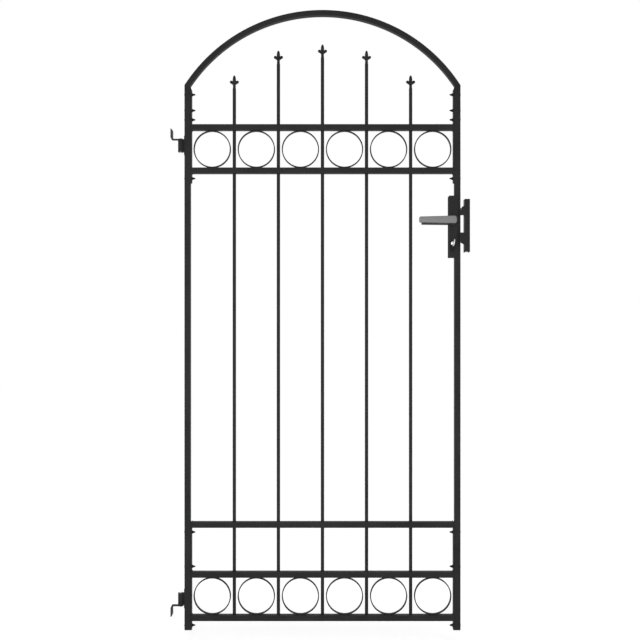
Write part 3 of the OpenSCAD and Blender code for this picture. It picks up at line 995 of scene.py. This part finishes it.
class GATE_OT_welds(GateStep, Operator):
    """Make the weld seams"""

    bl_idname = "gate.welds"
    bl_label = "Welds"

    def make(self):
        fine = 0.8
        self.seam("leaf_welds", rail_seams() + knuckle_seams(), LEAF)
        self.seam("ring_welds", ring_seams(), LEAF, fine)
        self.seam("pin_welds", pin_seams(), WALL_SIDE, fine)

    def seam(self, name, runs, body, share=1):
        """Ripples of weld along each run of points."""
        made = grow(polyline(name, *runs), weld_tree, Radius=share * detail().weld_radius,
                    Step=detail().weld_step)
        settle(shade(made, CAST_ANGLE), body=body)


# -------- hinges and strike


class GATE_OT_hinges(GateStep, Operator):
    """Make the hinge brackets, their pins, the knuckles on the leaf and the wall strike"""

    bl_idname = "gate.hinges"
    bl_label = "Hinges and strike"

    def make(self):
        edge = detail().edge_radius
        for level in ("lower", "upper"):
            softened(f"{level}_hinge_arm", f"{level}_bracket", edge, body=WALL_SIDE)
            softened(f"{level}_hinge_pin", f"{level}_pin", 0.8 * MM, zinc_plate, WALL_SIDE)
            softened(f"{level}_knuckle", f"{level}_barrel", 0.6 * MM)
        softened("strike", "strike_sheet", edge, body=WALL_SIDE)


# -------- lock, lever and key


class GATE_OT_lock(GateStep, Operator):
    """Make the lock case, its plates, the bolts and the cylinder"""

    bl_idname = "gate.lock"
    bl_label = "Lock"

    def make(self):
        softened("lock_case", "case_shell", detail().edge_radius)
        for side, facing in SIDES:
            softened(f"{side}_lock_plate", f"{side}_plate", 0.9 * MM)
        softened("latch_bolt", "latch_nose", 0.5 * MM, zinc_plate)
        softened("dead_bolt", "dead_bolt_nose", 0.5 * MM, zinc_plate)
        softened("lock_cylinder", "cylinder_body", 0.35 * MM, screw_black)
        for side, facing in SIDES:
            self.collar(side, facing)

    def collar(self, side, facing):
        """The plastic collar round a lever's neck, on its plate."""
        profile = ((7.3, 0), (11, 0), (11, 1.2), (10.2, 2), (7.3, 2.2))
        made = turned(f"lever_collar_{side}", [(r * MM, h * MM) for r, h in profile],
                      steps=48, looped=True)
        on_lever_axis(made, facing)
        made.data.materials.append(material(moulded_plastic))
        settle(shade(made), maker=moulded_plastic)


def on_lever_axis(obj, facing):
    """Moves a shape turned round Z to the lever's axis, its foot on the lock plate."""
    plate_y = facing * PLATE_Y
    obj.data.transform(Matrix(((1, 0, 0, LEVER_AXIS.x), (0, 0, facing, plate_y),
                               (0, 1, 0, LEVER_AXIS.z), (0, 0, 0, 1))))
    outward(obj)


def rounded_section(x, half_height, near, far, radius, facing):
    """A cross-section of the lever's blade at x from the spindle."""
    corner_steps = 6
    radius = min(radius, half_height * 0.98, (far - near) * 0.49)
    points = []
    corners = ((far - radius, half_height - radius), (near + radius, half_height - radius),
               (near + radius, radius - half_height), (far - radius, radius - half_height))
    for quarter, (y, z) in enumerate(corners):
        for i in range(corner_steps + 1):
            turn = math.pi / 2 * (quarter + i / corner_steps)
            points.append(Vector((LEVER_AXIS.x + x, facing * (y + radius * math.cos(turn)),
                                  LEVER_AXIS.z + z + radius * math.sin(turn))))
    return points


def corner_drop(past, radius):
    """How far a rounded corner falls in at a distance past its start."""
    past = min(max(past, 0.0), radius)
    return radius - math.sqrt(radius * radius - past * past)


def painted_light_at(vert):
    """Painted light share: 1 on a lever's lit faces, down to 0 in painted shade underneath it and
    on its face to the gate.
    """
    down, level = -0.95, -0.55
    shade_reach, light_reach = -12 * MM, -2 * MM
    under = (vert.normal.z - down) / (level - down)
    inward = (vert.normal.y * vert.co.y - shade_reach) / (light_reach - shade_reach)
    return min(max(min(under, inward), 0.0), 1.0)


def lever_blade(node, facing, depth, height, tip_height):
    """A blade that tapers from the spindle to its tip, with both ends turned round."""
    low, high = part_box(node)
    tip_x = low.x - LEVER_AXIS.x
    end_x = high.x - LEVER_AXIS.x
    far = max(abs(low.y), abs(high.y))
    near = far - depth
    hub_r = (high.z - low.z) / 2
    belly_y = 0.10 * depth
    bend = 0.62 * depth
    section_corner = 0.28 * depth
    hub_corner = min(9 * MM, 0.9 * hub_r)
    tip_corner = 0.42 * tip_height / 2
    tip_round = 2.1 * MM
    short = 0.98            # keeps an end from closing to a point
    steps = 56
    rows = []
    for i in range(steps + 1):
        # more sections where the ends turn round
        t = (1 - math.cos(math.pi * i / steps)) / 2
        x = end_x + (tip_x - end_x) * t
        along = max(0.0, min(1.0, x / tip_x))
        half = (height + (tip_height - height) * along) / 2
        if abs(x) < hub_r:
            half = max(half, math.sqrt(hub_r * hub_r - x * x))
        half -= corner_drop(x - end_x + hub_corner, short * hub_corner)
        half -= corner_drop(tip_x + tip_corner - x, tip_corner)
        belly = belly_y * math.sin(math.pi * along) ** 2
        turned_in = corner_drop(x - end_x + bend, short * bend)
        tip_in = corner_drop(tip_x + tip_round + 0.1 * MM - x, tip_round)
        rows.append(rounded_section(x, half, near + belly + 0.4 * tip_in,
                                    far - turned_in - tip_in, section_corner, facing))
    blade = skin("blade", rows)
    outward(blade)
    return blade, near - PLATE_Y, hub_r


def lever(node, facing, depth, height, tip_height):
    """A lever's blade and neck; facing is -1 for the front."""
    blade, reach, hub_r = lever_blade(node, facing, depth, height, tip_height)
    neck_r = 7 * MM
    flare = min(9 * MM, hub_r - 1 * MM) - neck_r
    # (share of the flare, distance past the blade's back)
    profile = ((0, -reach), (0, -8 * MM), (0.15, -4 * MM), (0.6, -0.8 * MM), (1, 1.5 * MM))
    neck = turned("neck", [(neck_r + share * flare, reach + past) for share, past in profile],
                  steps=40)
    on_lever_axis(neck, facing)
    made = join(f"{node}_handle", [blade, neck], satin_alloy)
    # painted shade on the levers, stored as each point's painted light share
    set_attribute(made, "painted_light_share", "FLOAT", [painted_light_at(v) for v in made.data.vertices])
    settle(shade(made, SWEPT_ANGLE), node, body=LEVER, maker=satin_alloy)


class GATE_OT_levers(GateStep, Operator):
    """Make the two levers and their spindle"""

    bl_idname = "gate.levers"
    bl_label = "Levers"

    def make(self):
        lever("front_lever", -1, 12 * MM, 25 * MM, 19 * MM)
        lever("back_lever", 1, 10 * MM, 9 * MM, 7 * MM)
        softened("lever_spindle", "square_spindle", 0.4 * MM, zinc_plate, LEVER)


class GATE_OT_key(GateStep, Operator):
    """Make the turning plug and the key in it"""

    bl_idname = "gate.key"
    bl_label = "Key"

    def make(self):
        softened("cylinder_plug", "plug_face", 0.3 * MM, satin_nickel, KEY)
        softened("key", "key_cut", 0.35 * MM, satin_nickel, KEY)


# -------- stage


def seen_directly(tree):
    """1 for what the eye meets by itself, in a reflection or through glass."""
    path = add_node(tree, "LightPath")
    seen = path.outputs["Is Camera Ray"]
    for kind in ("Is Glossy Ray", "Is Transmission Ray"):
        seen = work_out(tree, "MAXIMUM", seen, path.outputs[kind])
    return seen


def pale_floor(finish):
    """A pale floor that shows white to the eye and keeps soft shadows."""
    glow = 0.32
    made, tree, surface = new_material("pale floor", finish.floor, 0.0, 0.0)
    surface.inputs["Roughness"].default_value = 1.0
    unlit, lit = (output(tree, "Emission", Color=(shine, shine, shine, 1),
                         Strength=glow * shine) for shine in (0, 1))
    shown = combine(tree, "MixShader", seen_directly(tree), unlit, lit)
    both = combine(tree, "AddShader", surface.outputs[0], shown)
    tree.links.new(both, tree.nodes["Material Output"].inputs["Surface"])
    return made


def white_world():
    """A white room: plain white to the eye, softer as light, darker on the viewer's side."""
    world = bpy.data.worlds.new("white room")
    bpy.context.scene.world = world
    world.use_nodes = True
    tree = world.node_tree
    tree.nodes.clear()
    direction = add_node(tree, "TexCoord").outputs["Generated"]
    axes = add_node(tree, "SeparateXYZ", Vector=direction)
    front = output(tree, "MapRange", Value=axes.outputs["Y"], From_Min=-1.0,
                   From_Max=0.2, To_Min=0.25, To_Max=1.0)
    light, seen = (output(tree, "Background", Color=(1, 1, 1, 1), Strength=strength)
                   for strength in (front, 1.0))
    mixed = combine(tree, "MixShader", seen_directly(tree), light, seen)
    add_node(tree, "OutputWorld", Surface=mixed)


class GATE_OT_stage(GateStep, Operator):
    """Make the floor, the light and the camera"""

    bl_idname = "gate.stage"
    bl_label = "Stage"

    def make(self):
        scene = bpy.context.scene
        view = scene.gate_view
        reach = 14.0
        foot_gap = 30 * MM
        z = FOOT_Z - foot_gap
        corners = [(reach * x, reach * y, z) for x, y in ((-1, -1), (1, -1), (1, 1), (-1, 1))]
        floor = new_object("floor", corners, (), [(0, 1, 2, 3)])
        floor.data.materials.append(pale_floor(scene.gate_finish))
        white_world()
        self.lamp("soft key", (LEAF_MID_X - 0.3, -1.9, FOOT_Z + 1.05), size=1.2, power=14)
        self.lamp("soft fill", (LEAF_MID_X + 2.2, -1.2, FOOT_Z + 1.0), size=1.8, power=5)
        data = bpy.data.cameras.new("camera")
        camera = put_in_scene("camera", data)
        data.lens = data.sensor_width * view.distance / view.width
        data.shift_y = (view.width / 2 - view.foot_margin - view.height) / view.width
        data.clip_start = 0.05
        camera.location = (LEAF_MID_X + view.side, -HALF_DEPTH - view.distance,
                           FOOT_Z + view.height)
        camera.rotation_euler = (math.pi / 2, 0, 0)
        scene.camera = camera
        scene.view_settings.view_transform = "Standard"

    def lamp(self, name, place, size, power):
        """A square light that faces the middle of the leaf."""
        data = bpy.data.lights.new(name, "AREA")
        data.size = size
        data.energy = power
        made = put_in_scene(name, data)
        made.location = place
        aim = Vector((LEAF_MID_X, 0, FOOT_Z + 1.0)) - Vector(place)
        made.rotation_euler = aim.to_track_quat("-Z", "Y").to_euler()


# -------- panel and run

OPERATORS = (GATE_OT_tubes, GATE_OT_strips, GATE_OT_bars, GATE_OT_rings, GATE_OT_screws,
             GATE_OT_welds, GATE_OT_hinges, GATE_OT_lock, GATE_OT_levers,
             GATE_OT_key, GATE_OT_stage)
GROUPS = (("gate_detail", GateDetail), ("gate_finish", GateFinish), ("gate_view", GateView))


class GATE_PT_panel(Panel):
    """Sizes, colours and steps of the gate"""

    bl_idname = "GATE_PT_panel"
    bl_label = "Garden Gate"
    bl_space_type = "VIEW_3D"
    bl_region_type = "UI"
    bl_category = "Garden Gate"

    def draw(self, context):
        for name, group in GROUPS:
            box = self.layout.box()
            for key in group.__annotations__:
                box.prop(getattr(context.scene, name), key)
        for operator in OPERATORS:
            self.layout.operator(operator.bl_idname)


def register():
    for name, group in GROUPS:
        bpy.utils.register_class(group)
        setattr(bpy.types.Scene, name, PointerProperty(type=group))
    for operator in OPERATORS:
        bpy.utils.register_class(operator)
    bpy.utils.register_class(GATE_PT_panel)


def unregister():
    bpy.utils.unregister_class(GATE_PT_panel)
    for operator in reversed(OPERATORS):
        bpy.utils.unregister_class(operator)
    for name, group in reversed(GROUPS):
        delattr(bpy.types.Scene, name)
        bpy.utils.unregister_class(group)


def main():
    register()
    for operator in OPERATORS:
        family, action = operator.bl_idname.split(".")
        getattr(getattr(bpy.ops, family), action)()


if __name__ == "__main__":
    main()
